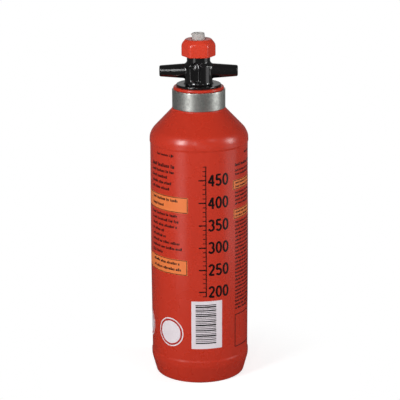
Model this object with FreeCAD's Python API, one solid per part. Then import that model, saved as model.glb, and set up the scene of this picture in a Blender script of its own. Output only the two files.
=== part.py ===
import FreeCAD, Part
import math
import os

# Camping fuel bottle with a winged screw cap and a press-to-pour valve, in millimetres.
# The base stands on z = 0, the bottle's axis is Z, the cap's wings lie along X.

# Bottle, blow moulded in one piece
bottle_height = 206.1
body_diameter = 68.3
panel_depth = 0.4
body_wall = 2.1
foot_diameter = 61.4
foot_round = 2.2
heel_height = 12.6
heel_blend = 12.0
base_band_height = 4.1
base_band_blend = 1.2
shoulder_band_height = 1.4
shoulder_band_blend = 1.6
shoulder_angle = 46.4
shoulder_round = 12.0
foot_ring_width = 6.7
push_up_height = 3.0
push_up_slope = 4.0
fill_mark_height = 163.4

# Neck and its lip
neck_diameter = 33.4
neck_wall = 2.5
neck_bore_length = 15.5
lip_overhang = 0.7
lip_height = 1.9
lip_round = 0.9
gasket_seat_depth = 1.2
gasket_seat_width = 0.9

# Aluminium ring that is held on the neck by the lip
ring_wall = 1.5
ring_height = 12.8
ring_bevel = 0.3
ring_clearance = 0.1
ring_ledge_margin = 0.15
ledge_rim_height = 0.7

# Cap, moulded in one piece
flange_diameter = 30.7
flange_thickness = 1.4
flange_gap = 0.2
hub_height = 12.6
hub_round = 0.5
hub_shoulder_height = 2.8
hub_shoulder_width = 1.55
collar_wall = 1.7
collar_height = 7.7
wing_span = 53.7
wing_root_diameter = 10.2
wing_tip_diameter = 7.6
wing_rise = 1.3
wing_tip_round = 1.0
wing_root_fillet = 0.9
niche_depth = 1.95
niche_left = -4.7
niche_right = 1.1
niche_floor = 1.8
thread_room = 1.2
plug_length = 19.3
plug_wall = 1.2
plug_core_depth = 13.0
valve_tube_bore = 15.0
valve_tube_wall = 1.2

# Valve stem with the pouring nozzle
stem_diameter = 8.0
stem_wall = 1.0
stem_floor = 4.0
thread_diameter = 10.0
nozzle_height = 4.1
nozzle_root_diameter = 9.1
nozzle_tip_diameter = 8.2
nozzle_rim_round = 0.3
beak_reach = 1.1
beak_width = 3.0
beak_drop = 0.7
beak_depth = 1.3
port_diameter = 2.6
key_width = 1.6
key_height = 0.8
key_engagement = 2.5
spigot_diameter = 5.0

# Valve seat, seals and spring
insert_flange_thickness = 1.2
seat_ring_height = 0.5
seat_ring_width = 1.0
flow_gap = 1.4
chamber_gap = 2.2
chamber_length = 8.0
seal_thickness = 1.5
seal_overlap = 1.2
disc_thickness = 2.0
disc_margin = 0.4
o_ring_section = 2.0
gland_spare = 0.2
guide_length = 6.3
spring_stem_gap = 1.05
spring_pocket_gap = 0.35
spring_wire = 0.9
spring_turns = 6.5
spring_washer_thickness = 1.0
spring_length = 20.5
spring_end_gap = 0.05
gasket_clearance = 0.15

# Knob
knob_height = 11.7
knob_across_flats = 21.0
knob_corner_round = 3.0
knob_top_diameter = 17.7
knob_chamfer_height = 3.4
knob_rim_round = 0.7
knob_overlap = 3.9
knob_cavity_gap = 0.5
knob_ring_thickness = 1.1
knob_ring_gap = 0.25

# Travels and clearances
press_travel = 3.0
stop_gap = 0.3
thread_clearance = 0.1
slide_clearance = 0.05
push_fit_clearance = 0.02

# Radii worked out from the diameters above
body_radius = body_diameter / 2
panel_radius = body_radius - panel_depth
cavity_radius = panel_radius - body_wall
foot_radius = foot_diameter / 2
push_up_radius = foot_radius - foot_ring_width - push_up_slope
neck_radius = neck_diameter / 2
neck_bore_radius = neck_radius - neck_wall
lip_radius = neck_radius + lip_overhang
ring_bore_radius = neck_radius + ring_clearance
ring_radius = ring_bore_radius + ring_wall
ledge_radius = ring_radius + ring_ledge_margin
gasket_seat_radius = neck_bore_radius + gasket_seat_width
plug_radius = neck_bore_radius - thread_room
valve_tube_radius = valve_tube_bore / 2
stem_radius = stem_diameter / 2
stem_bore_radius = stem_radius - stem_wall
thread_radius = thread_diameter / 2
key_radius = stem_radius + key_height
spigot_radius = spigot_diameter / 2
flow_radius = stem_radius + flow_gap
chamber_radius = stem_radius + chamber_gap
seat_ring_radius = flow_radius + seat_ring_width
seal_radius = seat_ring_radius + seal_overlap
disc_radius = seal_radius + disc_margin
gland_radius = stem_radius + o_ring_section + 2 * slide_clearance
spring_pocket_radius = stem_radius + spring_stem_gap + spring_wire + spring_pocket_gap
collar_radius = spring_pocket_radius + collar_wall
hub_radius = collar_radius + hub_shoulder_width
hub_core_radius = hub_radius - niche_depth
knob_cavity_radius = collar_radius + knob_cavity_gap

# Heights worked out from the sizes above, from the base up
slope = math.tan(math.radians(shoulder_angle))
lip_low = bottle_height - lip_height
ring_top = lip_low - ring_clearance
ledge_z = ring_top - ring_height
ledge_rim_z = ledge_z - ledge_rim_height
shoulder_corner_z = ledge_rim_z - (body_radius - ledge_radius) * slope
shoulder_tangent_z = shoulder_corner_z - shoulder_round * math.tan(math.radians(shoulder_angle) / 2)
panel_top_z = shoulder_tangent_z - shoulder_band_height
panel_low_z = heel_height + base_band_height
gasket_seat_z = bottle_height - gasket_seat_depth
flange_low = bottle_height + flange_gap
flange_top = flange_low + flange_thickness
hub_top = flange_top + hub_height
collar_low = hub_top + hub_shoulder_height
collar_top = collar_low + collar_height
wing_z = hub_top + wing_rise - wing_root_diameter / 2
plug_low = flange_low - plug_length
seat_low = plug_low - insert_flange_thickness - seat_ring_height
seal_low = seat_low - seal_thickness
disc_low = seal_low - disc_thickness
insert_top = plug_low + chamber_length
gland_top = insert_top + o_ring_section + gland_spare
pocket_floor = gland_top + guide_length
key_low = pocket_floor - key_engagement
key_top = pocket_floor + press_travel
spring_top = pocket_floor + spring_length
stem_shoulder = spring_top + spring_washer_thickness
knob_ring_low = collar_top + press_travel + stop_gap
knob_ceiling = knob_ring_low + knob_ring_thickness
knob_low = collar_top - knob_overlap
knob_top = knob_low + knob_height
nozzle_top = knob_top + nozzle_height

# A height above every piece, for tools that cut right through
reach = 2 * nozzle_top
# Distances below which two points are one, and a point counts as on a surface
same_point = 1e-6
on_surface = 1e-3
# Points measured along an edge and along a turn of the spring
edge_samples = 9
turn_samples = 48
axis_point = FreeCAD.Vector(0, 0, 0)
axis_up = FreeCAD.Vector(0, 0, 1)


# Closed wire through corner points, each corner (point, rounding radius) turned into a tangent arc
def rounded_wire(corners):
    turns = []
    for index, (corner, radius) in enumerate(corners):
        to_last = (corners[index - 1][0] - corner).normalize()
        to_next = (corners[(index + 1) % len(corners)][0] - corner).normalize()
        if radius == 0:
            turns.append((corner, None, corner))
            continue
        half = to_last.getAngle(to_next) / 2
        setback = radius / math.tan(half)
        middle = (to_last + to_next).normalize() * (radius / math.sin(half) - radius)
        turns.append((corner + to_last * setback, corner + middle, corner + to_next * setback))
    edges = []
    for index, (start, middle, end) in enumerate(turns):
        if middle is not None:
            edges.append(Part.Arc(start, middle, end).toShape())
        next_start = turns[(index + 1) % len(turns)][0]
        if end.distanceToPoint(next_start) > same_point:
            edges.append(Part.LineSegment(end, next_start).toShape())
    return Part.Wire(edges)


# Solid of revolution about Z from half-profile corners (radius, z, rounding)
def turned(profile):
    corners = [(FreeCAD.Vector(radius, 0, z), rounding) for radius, z, rounding in profile]
    return Part.Face(rounded_wire(corners)).revolve(axis_point, axis_up, 360)


# Plain ring between two radii and two heights
def ring(inner, outer, low, high):
    return turned([(inner, low, 0), (outer, low, 0), (outer, high, 0), (inner, high, 0)])


def cylinder(radius, low, high):
    return Part.makeCylinder(radius, high - low, FreeCAD.Vector(0, 0, low))


# Outside of the bottle: hollow base, tapered heel, label panel between two bands, cone, neck and lip
def bottle_outside():
    return turned([
        (0, push_up_height, 0),
        (push_up_radius, push_up_height, push_up_slope),
        (push_up_radius + push_up_slope, 0, push_up_slope / 3),
        (foot_radius, 0, foot_round),
        (body_radius, heel_height, heel_blend),
        (body_radius, panel_low_z, base_band_blend),
        (panel_radius, panel_low_z + base_band_blend, base_band_blend),
        (panel_radius, panel_top_z - shoulder_band_blend, shoulder_band_blend),
        (body_radius, panel_top_z, shoulder_band_blend),
        (body_radius, shoulder_corner_z, shoulder_round),
        (ledge_radius, ledge_rim_z, ledge_rim_height / 2),
        (ledge_radius, ledge_z, ring_ledge_margin),
        (neck_radius, ledge_z, 0),
        (neck_radius, lip_low, 0),
        (lip_radius, lip_low, lip_round / 2),
        (lip_radius, bottle_height, lip_round),
        (0, bottle_height, 0),
    ])


# Space inside the bottle, with the neck bore and the gasket's seat in the mouth
def bottle_inside():
    inner_corner_z = ledge_rim_z - (cavity_radius - ledge_radius) * slope
    inner_corner_z -= body_wall / math.cos(math.radians(shoulder_angle))
    return turned([
        (0, push_up_height + body_wall, 0),
        (push_up_radius, push_up_height + body_wall, push_up_slope),
        (push_up_radius + push_up_slope, body_wall, push_up_slope / 3),
        (foot_radius - body_wall, body_wall, foot_round),
        (cavity_radius, heel_height, heel_blend),
        (cavity_radius, inner_corner_z, shoulder_round - body_wall),
        (neck_bore_radius, gasket_seat_z - neck_bore_length, body_wall),
        (neck_bore_radius, gasket_seat_z, 0),
        (gasket_seat_radius, gasket_seat_z, 0),
        (gasket_seat_radius, bottle_height + lip_height, 0),
        (0, bottle_height + lip_height, 0),
    ])


def bottle_shell():
    return bottle_outside().cut(bottle_inside())


# Plain band with bevelled edges, resting on the shoulder's ledge
def neck_ring():
    return turned([
        (ring_bore_radius, ledge_z, 0),
        (ring_radius - ring_bevel, ledge_z, 0),
        (ring_radius, ledge_z + ring_bevel, 0),
        (ring_radius, ring_top - ring_bevel, 0),
        (ring_radius - ring_bevel, ring_top, 0),
        (ring_bore_radius, ring_top, 0),
    ])


def flange_gasket():
    inner = plug_radius + gasket_clearance
    outer = gasket_seat_radius - gasket_clearance
    return ring(inner, outer, gasket_seat_z, flange_low)


# Radius of a wing at a distance from the bottle's axis
def wing_radius(x):
    along = (abs(x) - hub_core_radius) / (wing_span / 2 - hub_core_radius)
    return (wing_root_diameter + (wing_tip_diameter - wing_root_diameter) * along) / 2


# One tapered round wing along +X or -X, as a turned bar with a rounded end
def wing(side):
    root = wing_root_diameter / 2
    tip = wing_tip_diameter / 2
    length = wing_span / 2
    corners = [
        (FreeCAD.Vector(0, 0, wing_z), 0),
        (FreeCAD.Vector(0, 0, wing_z + root), 0),
        (FreeCAD.Vector(side * hub_core_radius, 0, wing_z + root), 0),
        (FreeCAD.Vector(side * length, 0, wing_z + tip), wing_tip_round),
        (FreeCAD.Vector(side * length, 0, wing_z), 0),
    ]
    bar_axis = FreeCAD.Vector(1, 0, 0)
    return Part.Face(rounded_wire(corners)).revolve(FreeCAD.Vector(0, 0, wing_z), bar_axis, 360)


# Fillet where the wings run into the hub: the edges between a wing and the hub's wall or shoulder
def blend_wings(body):
    edges = []
    for edge in body.Edges:
        points = edge.discretize(edge_samples)
        from_axis = [math.hypot(point.x, point.y) for point in points]
        from_wing = [abs(math.hypot(point.y, point.z - wing_z) - wing_radius(point.x)) for point in points]
        beside_hub = collar_radius < min(from_axis) and max(from_axis) < hub_radius + on_surface
        if beside_hub and max(from_wing) < on_surface:
            edges.append(edge)
    return body.makeFillet(wing_root_fillet, edges)


# Arched niches that the two mould halves leave in the hub, front and back, drawn along Y
def hub_niches():
    floor_z = flange_top + niche_floor
    niche_radius = (niche_right - niche_left) / 2
    arch_z = hub_top - niche_radius / 2
    arch_centre = FreeCAD.Vector(niche_left + niche_radius, -hub_radius, arch_z)
    arch = Part.makeCylinder(niche_radius, hub_radius, arch_centre, FreeCAD.Vector(0, 1, 0))
    niche_corner = FreeCAD.Vector(niche_left, -hub_radius, floor_z)
    niche = Part.makeBox(2 * niche_radius, hub_radius, arch_z - floor_z, niche_corner)
    front = niche.fuse(arch).cut(cylinder(hub_core_radius, 0, reach))
    back = front.copy()
    back.rotate(axis_point, axis_up, 180)
    return front.fuse(back)


# Bore of the cap from below: seat tube, gland, keyed guide and, above the guide, the spring pocket
def cap_bores():
    guide_radius = stem_radius + slide_clearance
    bores = cylinder(valve_tube_radius, plug_low, insert_top)
    gland = cylinder(gland_radius, insert_top, gland_top)
    guide = cylinder(guide_radius, gland_top, pocket_floor)
    pocket = cylinder(spring_pocket_radius, pocket_floor, collar_top)
    core_low = valve_tube_radius + valve_tube_wall
    core_high = plug_radius - plug_wall
    core = ring(core_low, core_high, plug_low, plug_low + plug_core_depth)
    return bores.fuse([gland, guide, pocket, stem_keys(slide_clearance, key_low - press_travel), core])


def cap_body():
    body = turned([
        (0, plug_low, 0),
        (plug_radius, plug_low, plug_wall / 2),
        (plug_radius, flange_low, 0),
        (flange_diameter / 2, flange_low, flange_thickness / 3),
        (flange_diameter / 2, flange_top, flange_thickness / 3),
        (hub_radius, flange_top, hub_round),
        (hub_radius, hub_top, hub_round),
        (collar_radius, collar_low, hub_round),
        (collar_radius, collar_top, hub_round),
        (0, collar_top, 0),
    ])
    body = blend_wings(body.fuse([wing(1), wing(-1)]))
    return body.cut(hub_niches()).cut(cap_bores())


# Seat pushed up into the cap's valve tube: a flanged sleeve with the seat ring on its underside
def seat_insert():
    sleeve_radius = valve_tube_radius - push_fit_clearance
    return turned([
        (flow_radius, seat_low, 0),
        (seat_ring_radius, seat_low, 0),
        (seat_ring_radius, seat_low + seat_ring_height, 0),
        (valve_tube_radius + valve_tube_wall, seat_low + seat_ring_height, 0),
        (valve_tube_radius + valve_tube_wall, plug_low, 0),
        (sleeve_radius, plug_low, 0),
        (sleeve_radius, insert_top, 0),
        (chamber_radius, insert_top, 0),
        (chamber_radius, plug_low, 0),
        (flow_radius, plug_low, 0),
    ])


def stem_o_ring():
    section = o_ring_section / 2
    centre = stem_radius + slide_clearance + section
    return Part.makeTorus(centre, section, FreeCAD.Vector(0, 0, insert_top + gland_spare / 2 + section))


# Two keys on the stem that stop it turning; the same shape, with room added, cuts their ways in the guide
def stem_keys(room, low):
    width = key_width + 2 * room
    length = 2 * (key_radius + room)
    bar = Part.makeBox(length, width, key_top - low, FreeCAD.Vector(-length / 2, -width / 2, low))
    return bar.common(cylinder(key_radius + room, low, key_top))


# Small pouring beak on the nozzle's rim, towards -X
def nozzle_beak():
    tip = nozzle_tip_diameter / 2
    corners = [
        (FreeCAD.Vector(-stem_radius / 2, -beak_width / 2, nozzle_top), 0),
        (FreeCAD.Vector(-tip, -beak_width / 2, nozzle_top), 0),
        (FreeCAD.Vector(-tip - beak_reach, -beak_width / 2, nozzle_top - beak_drop), beak_drop / 3),
        (FreeCAD.Vector(-tip, -beak_width / 2, nozzle_top - beak_drop - beak_depth), 0),
        (FreeCAD.Vector(-stem_radius / 2, -beak_width / 2, nozzle_top - beak_drop - beak_depth), 0),
    ]
    bar = Part.Face(rounded_wire(corners)).extrude(FreeCAD.Vector(0, beak_width, 0))
    prow = Part.makeCylinder(tip, reach, FreeCAD.Vector(-beak_reach, 0, 0))
    return bar.common(prow.fuse(cylinder(tip, 0, reach)))


# Hollow stem: spigot, guide length, threaded head and nozzle, with cross ports above the seat
def valve_stem():
    stem = turned([
        (0, disc_low, 0),
        (spigot_radius, disc_low, 0),
        (spigot_radius, seat_low, 0),
        (stem_radius, seat_low, 0),
        (stem_radius, stem_shoulder, 0),
        (thread_radius, stem_shoulder, 0),
        (thread_radius, knob_top, 0),
        (nozzle_root_diameter / 2, knob_top, 0),
        (nozzle_tip_diameter / 2, nozzle_top, nozzle_rim_round),
        (0, nozzle_top, 0),
    ])
    stem = stem.fuse([stem_keys(0, key_low), nozzle_beak()])
    bore = cylinder(stem_bore_radius, seat_low + stem_floor, reach)
    port_z = (plug_low + insert_top) / 2
    cuts = [bore]
    for direction in (FreeCAD.Vector(1, 0, 0), FreeCAD.Vector(0, 1, 0)):
        start = FreeCAD.Vector(0, 0, port_z) - direction * stem_diameter
        cuts.append(Part.makeCylinder(port_diameter / 2, 2 * stem_diameter, start, direction))
    return stem.cut(cuts)


def valve_disc():
    return ring(spigot_radius + push_fit_clearance, disc_radius, disc_low, seal_low)


def valve_seal():
    return ring(spigot_radius + push_fit_clearance, seal_radius, seal_low, seat_low)


def spring_washer():
    outer = spring_pocket_radius - spring_pocket_gap
    return ring(stem_radius + slide_clearance, outer, spring_top, stem_shoulder)


# Point and direction of the spring's centre line after a number of turns
def spring_point(turns):
    radius = spring_pocket_radius - spring_pocket_gap - spring_wire / 2
    low = pocket_floor + spring_wire / 2 + spring_end_gap
    rise = spring_length - spring_wire - 2 * spring_end_gap
    angle = 2 * math.pi * turns
    height = low + rise * turns / spring_turns
    point = FreeCAD.Vector(radius * math.cos(angle), radius * math.sin(angle), height)
    climb = rise / spring_turns / (2 * math.pi)
    direction = FreeCAD.Vector(-radius * math.sin(angle), radius * math.cos(angle), climb)
    return point, direction.normalize()


# Arc from a point along a direction to an end point
def arc_along(start, direction, end):
    chord = end - start
    angle = direction.getAngle(chord)
    side = (direction - chord * (direction.dot(chord) / chord.dot(chord))).normalize()
    middle = start + chord * 0.5 + side * (chord.Length / 2 * math.tan(angle / 2))
    return Part.Arc(start, middle, end).toShape()


# Two arcs that meet in one tangent between two points with given directions
def biarc(start, start_direction, end, end_direction):
    chord = end - start
    both = start_direction + end_direction
    bend = 2 * (1 - start_direction.dot(end_direction))
    along = chord.dot(both)
    handle = (math.sqrt(along * along + bend * chord.dot(chord)) - along) / bend
    meet = (start + start_direction * handle + end - end_direction * handle) * 0.5
    return [arc_along(start, start_direction, meet), arc_along(end, end_direction * -1, meet)]


# Compression spring: one round wire swept along half-turn biarcs of a helix
def return_spring():
    steps = int(round(2 * spring_turns))
    stations = [spring_point(spring_turns * step / steps) for step in range(steps + 1)]
    edges = []
    for (start, start_direction), (end, end_direction) in zip(stations, stations[1:]):
        edges += biarc(start, start_direction, end, end_direction)
    first_point, first_direction = stations[0]
    section = Part.Wire(Part.Circle(first_point, first_direction, spring_wire / 2).toShape())
    return Part.Wire(Part.__sortEdges__(edges)).makePipeShell([section], True, False)


# Least room between neighbouring turns of the spring, measured on points of its centre line
def spring_gap():
    count = int(spring_turns * turn_samples)
    points = [spring_point(spring_turns * step / count)[0] for step in range(count + 1)]
    half_turn = turn_samples // 2
    least = min(points[first].distanceToPoint(points[second])
                for first in range(len(points)) for second in range(first + half_turn, len(points)))
    return least - spring_wire


# Soft ring under the knob's ceiling, which meets the collar when the knob is screwed down
def knob_ring():
    inner = thread_radius + knob_ring_gap
    outer = knob_cavity_radius - knob_ring_gap
    return ring(inner, outer, knob_ring_low, knob_ceiling)


# Hexagonal knob with rounded corners, a turned top like a bolt head, and a skirt over the collar
def knob():
    corner_radius = knob_across_flats / 2 / math.cos(math.pi / 6)
    corners = []
    for index in range(6):
        angle = index * math.pi / 3
        point = FreeCAD.Vector(corner_radius * math.cos(angle), corner_radius * math.sin(angle), knob_low)
        corners.append((point, knob_corner_round))
    prism = Part.Face(rounded_wire(corners)).extrude(FreeCAD.Vector(0, 0, knob_height))
    rim = [edge for edge in prism.Edges if max(vertex.Z for vertex in edge.Vertexes) < knob_low + same_point]
    prism = prism.makeFillet(knob_rim_round, rim)
    rounded_reach = corner_radius - knob_corner_round * (1 / math.cos(math.pi / 6) - 1)
    dome = turned([
        (0, knob_low, 0),
        (rounded_reach, knob_low, 0),
        (rounded_reach, knob_top - knob_chamfer_height, 0),
        (knob_top_diameter / 2, knob_top, knob_rim_round),
        (0, knob_top, 0),
    ])
    cavity = cylinder(knob_cavity_radius, knob_low, knob_ceiling)
    hole = cylinder(thread_radius + thread_clearance, knob_ceiling, knob_top)
    return prism.common(dome).cut([cavity, hole])


pieces = {
    "bottle_shell": bottle_shell,
    "neck_ring": neck_ring,
    "flange_gasket": flange_gasket,
    "stem_o_ring": stem_o_ring,
    "cap_body": cap_body,
    "seat_insert": seat_insert,
    "return_spring": return_spring,
    "spring_washer": spring_washer,
    "valve_stem": valve_stem,
    "valve_seal": valve_seal,
    "valve_disc": valve_disc,
    "knob_ring": knob_ring,
    "knob": knob,
}

os.makedirs("parts", exist_ok=True)
for name, make in pieces.items():
    shape = make()
    shape.exportStep(os.path.join("parts", name + ".step"))
    box = shape.BoundBox
    print(f"{name}: solids {len(shape.Solids)} valid {shape.isValid()} volume {shape.Volume:.1f} mm3,"
          f" z {box.ZMin:.2f} to {box.ZMax:.2f}, x {box.XMin:.2f} to {box.XMax:.2f}")

filled = bottle_inside().common(cylinder(body_radius, 0, fill_mark_height))
print(f"volume below the fill mark: {filled.Volume / 1000:.0f} ml")
print(f"least gap between the spring's turns: {spring_gap():.2f} mm")
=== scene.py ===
import math
import bmesh
import bpy
import numpy as np
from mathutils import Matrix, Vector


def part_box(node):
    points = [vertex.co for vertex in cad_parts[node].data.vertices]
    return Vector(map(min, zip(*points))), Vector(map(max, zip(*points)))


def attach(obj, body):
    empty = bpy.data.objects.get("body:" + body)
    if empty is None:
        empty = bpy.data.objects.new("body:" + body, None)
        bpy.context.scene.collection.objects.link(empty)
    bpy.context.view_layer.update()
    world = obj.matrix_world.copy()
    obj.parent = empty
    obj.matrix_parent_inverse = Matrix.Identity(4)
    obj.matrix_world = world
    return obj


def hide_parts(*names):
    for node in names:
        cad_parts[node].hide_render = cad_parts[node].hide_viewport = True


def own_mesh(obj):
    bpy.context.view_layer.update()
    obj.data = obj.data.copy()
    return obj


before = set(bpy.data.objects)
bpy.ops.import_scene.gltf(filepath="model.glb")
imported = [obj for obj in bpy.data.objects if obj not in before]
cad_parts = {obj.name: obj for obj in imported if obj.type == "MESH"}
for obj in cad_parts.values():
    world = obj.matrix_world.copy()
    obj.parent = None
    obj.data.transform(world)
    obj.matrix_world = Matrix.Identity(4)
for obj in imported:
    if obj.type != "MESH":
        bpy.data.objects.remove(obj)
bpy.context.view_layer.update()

mm = 0.001  # the pieces' sizes are in millimetres, the studio's in metres
print("frame loaded,", len(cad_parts), "nodes")


def hexColour(text):  # sRGB hex to linear colour
    srgb = np.array([int(text[i:i + 2], 16) for i in (1, 3, 5)]) / 255
    linear = np.where(srgb <= 0.04045, srgb / 12.92, ((srgb + 0.055) / 1.055) ** 2.4)
    return (*linear.tolist(), 1.0)


def addNode(tree, kind, settings={}, values={}, links={}):  # node with its settings, socket values and links
    node = tree.nodes.new(kind)
    for name, value in settings.items():
        setattr(node, name, value)
    for name, value in values.items():
        node.inputs[name].default_value = value
    for name, source in links.items():
        tree.links.new(source, node.inputs[name])
    return node


def newMaterial(name, sockets):  # material with its Principled shader and Object coordinates
    material = bpy.data.materials.new(name)
    material.use_nodes = True
    tree = material.node_tree
    shader = tree.nodes["Principled BSDF"]
    for socket, value in sockets.items():
        shader.inputs[socket].default_value = value
    place = addNode(tree, "ShaderNodeTexCoord").outputs["Object"]
    return material, tree, shader, place


noiseSpan = (0.3, 0.7)  # most values of a noise pattern lie between these


def mapSpan(span, low, high):  # socket values that take a span of values to the levels from low to high
    return {"From Min": span[0], "From Max": span[1], "To Min": low, "To Max": high}


def addSkin(look, tree, shader, tintBy, glossBy, glossSpan, bumpBy, bump=1.0):
    # a pattern mixes the two colours, the next spreads the roughness, the last raises the skin by the depth
    tint = addNode(tree, "ShaderNodeMix", {"data_type": "RGBA"},
                   {6: hexColour(look["colour"]), 7: hexColour(look["drift"])}, {0: tintBy})
    tree.links.new(tint.outputs[2], shader.inputs["Base Color"])
    gloss = addNode(tree, "ShaderNodeMapRange", {}, mapSpan(glossSpan, *look["roughness"]),
                    {"Value": glossBy})
    tree.links.new(gloss.outputs["Result"], shader.inputs["Roughness"])
    skin = addNode(tree, "ShaderNodeBump", {}, {"Strength": bump, "Distance": look["depth"] * mm},
                   {"Height": bumpBy})
    tree.links.new(skin.outputs["Normal"], shader.inputs["Normal"])


def mouldedPlastic(look):  # colour drifts over the mottle's size, gloss over the smears', under a fine grain
    material, tree, shader, place = newMaterial(look["name"], {"IOR": look["ior"]})
    mottle, smear, grain = (
        addNode(tree, "ShaderNodeTexNoise", {}, {"Scale": 1 / (look[size] * mm), "Detail": detail},
                {"Vector": place}).outputs["Fac"]
        for size, detail in (("mottle", 3.0), ("smear", 4.0), ("grain", 2.0)))
    addSkin(look, tree, shader, mottle, smear, noiseSpan, grain)
    return material


# Blow-moulded HDPE, pigmented red: waxy satin skin with a faint orange peel, so highlights are soft-edged
bottleRed = mouldedPlastic({
    "name": "blowMouldedRedHdpe", "colour": "#C83520", "drift": "#C0301C", "mottle": 60.0, "smear": 9.0,
    "grain": 1.6, "depth": 0.006, "roughness": (0.25, 0.31), "ior": 1.52,
})
# Injection-moulded black polypropylene from a polished tool: deep black with crisp narrow glints, for whose
# strength the IOR is raised above the plastic's own 1.49
capBlack = mouldedPlastic({
    "name": "injectionMouldedBlackPolypropylene", "colour": "#060506", "drift": "#0C0B0C", "mottle": 12.0,
    "smear": 3.0, "grain": 1.0, "depth": 0.001, "roughness": (0.15, 0.21), "ior": 1.82,
})
# Injection-moulded red polypropylene: a little lighter and more orange than the bottle, semi-gloss
knobRed = mouldedPlastic({
    "name": "injectionMouldedRedPolypropylene", "colour": "#DA4029", "drift": "#D33A24", "mottle": 10.0,
    "smear": 3.0, "grain": 0.5, "depth": 0.003, "roughness": (0.20, 0.27), "ior": 1.52,
})
# Uncoloured moulded acetal: milky pale grey with a soft gloss
stemNatural = mouldedPlastic({
    "name": "mouldedNaturalAcetal", "colour": "#BEBAB7", "drift": "#B2AEAA", "mottle": 6.0, "smear": 2.0,
    "grain": 0.6, "depth": 0.003, "roughness": (0.30, 0.40), "ior": 1.48,
})
# Moulded black nitrile rubber: matt, with a bloom that greys it slightly
sealRubber = mouldedPlastic({
    "name": "mouldedBlackNitrile", "colour": "#171616", "drift": "#232121", "mottle": 3.0, "smear": 1.5,
    "grain": 0.25, "depth": 0.006, "roughness": (0.62, 0.78), "ior": 1.52,
})
print("plastics and rubber made")


def metal(look):  # noise drawn out along the tool's lines, and rubbed patches that are duller and rougher
    material, tree, shader, place = newMaterial(look["name"], {"Metallic": 1.0})
    along, across = 1 / (look["streakLength"] * mm), 1 / (look["streakWidth"] * mm)
    stretched = addNode(tree, "ShaderNodeMapping", {}, {"Scale": (along, along, across)}, {"Vector": place})
    streak = addNode(tree, "ShaderNodeTexNoise", {}, {"Scale": 1.0, "Detail": 4.0},
                     {"Vector": stretched.outputs["Vector"]}).outputs["Fac"]
    rub = addNode(tree, "ShaderNodeTexNoise", {}, {"Scale": 1 / (look["rub"] * mm), "Detail": 5.0},
                  {"Vector": place}).outputs["Fac"]
    worn = addNode(tree, "ShaderNodeMapRange", {}, mapSpan(noiseSpan, 0.0, 1.0), {"Value": rub})
    both = addNode(tree, "ShaderNodeMath", {"operation": "ADD"}, {}, {0: streak, 1: rub})
    addSkin(look, tree, shader, worn.outputs["Result"], both.outputs["Value"], (0.7, 1.3), streak)
    return material


# Turned aluminium, satin polished: fine lines round the band and duller rubbed patches from handling
ringAluminium = metal({
    "name": "satinTurnedAluminium", "colour": "#F2F4EE", "drift": "#BBBDB8", "streakLength": 9.0,
    "streakWidth": 0.35, "rub": 1.9, "depth": 0.006, "roughness": (0.30, 0.48),
})
# Cold-drawn stainless spring wire: bright with draw lines
springWire = metal({
    "name": "drawnStainlessWire", "colour": "#B9B8B6", "drift": "#9C9B99", "streakLength": 3.0,
    "streakWidth": 0.2, "rub": 1.0, "depth": 0.002, "roughness": (0.22, 0.36),
})


def printedInk(look):  # film in a resin: patches vary its colour and gloss, and a weave dimples it
    material, tree, shader, place = newMaterial(look["name"], {"IOR": 1.5})
    patch, weave = (
        addNode(tree, "ShaderNodeTexNoise", {}, {"Scale": 1 / (look[size] * mm), "Detail": detail},
                {"Vector": place}).outputs["Fac"]
        for size, detail in (("patch", 4.0), ("weave", 1.0)))
    addSkin(look, tree, shader, patch, patch, (0.0, 1.0), weave, bump=0.6)
    return material


# Screen-printed inks: thin satin films, whose weave is drawn coarser than a real screen's so that it shows
inkBlack = printedInk({
    "name": "screenPrintedBlackInk", "colour": "#0C0405", "drift": "#160809", "patch": 1.2, "weave": 0.35,
    "depth": 0.006, "roughness": (0.30, 0.40),
})
inkOrange = printedInk({
    "name": "screenPrintedOrangeInk", "colour": "#EF8040", "drift": "#E7773B", "patch": 5.0, "weave": 0.35,
    "depth": 0.006, "roughness": (0.34, 0.46),
})
inkRed = printedInk({
    "name": "screenPrintedRedInk", "colour": "#B8261E", "drift": "#AE2119", "patch": 2.0, "weave": 0.35,
    "depth": 0.006, "roughness": (0.4, 0.52),
})
# Coated white paper, die cut: slightly bluish and flat, with a smooth sealed face
labelPaper = printedInk({
    "name": "coatedWhitePaper", "colour": "#ECE3E7", "drift": "#E4DAE0", "patch": 4.0, "weave": 0.2,
    "depth": 0.006, "roughness": (0.4, 0.52),
})
print("metals, inks and paper made")


def roundedProfile(corners, closed=True, steps=6, longest=5.0, hold=0.1):
    # line through (radius, height, rounding) corners: a rounded corner is an arc tangent to both sides, and a
    # long side gets a point at the hold distance from each end, and with those one for every `longest` of it
    points = np.array([corner[:2] for corner in corners], float)
    arcs = []
    for i, rounding in enumerate(corner[2] for corner in corners):
        if rounding == 0:
            arcs.append(points[i:i + 1])
            continue
        before, after = points[i - 1] - points[i], points[(i + 1) % len(points)] - points[i]
        before, after = before / np.linalg.norm(before), after / np.linalg.norm(after)
        half = math.acos(np.clip(before @ after, -1, 1)) / 2
        centre = points[i] + (before + after) / np.linalg.norm(before + after) * rounding / math.sin(half)
        start = points[i] + before * rounding / math.tan(half) - centre
        end = points[i] + after * rounding / math.tan(half) - centre
        sweep = math.atan2(start[0] * end[1] - start[1] * end[0], start @ end)
        turn = sweep * np.linspace(0, 1, steps + 1)[:, None]
        arcs.append(centre + start * np.cos(turn) + np.array([-start[1], start[0]]) * np.sin(turn))
    line = []
    for i, arc in enumerate(arcs):
        line.append(arc)
        if i == len(arcs) - 1 and not closed:
            break
        side = arcs[(i + 1) % len(arcs)][0] - arc[-1]
        length = np.linalg.norm(side)
        if length > 4 * hold:
            stops = np.linspace(hold, length - hold, max(2, math.ceil(length / longest)))
            line.append(arc[-1] + side * stops[:, None] / length)
    return np.concatenate(line)


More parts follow.
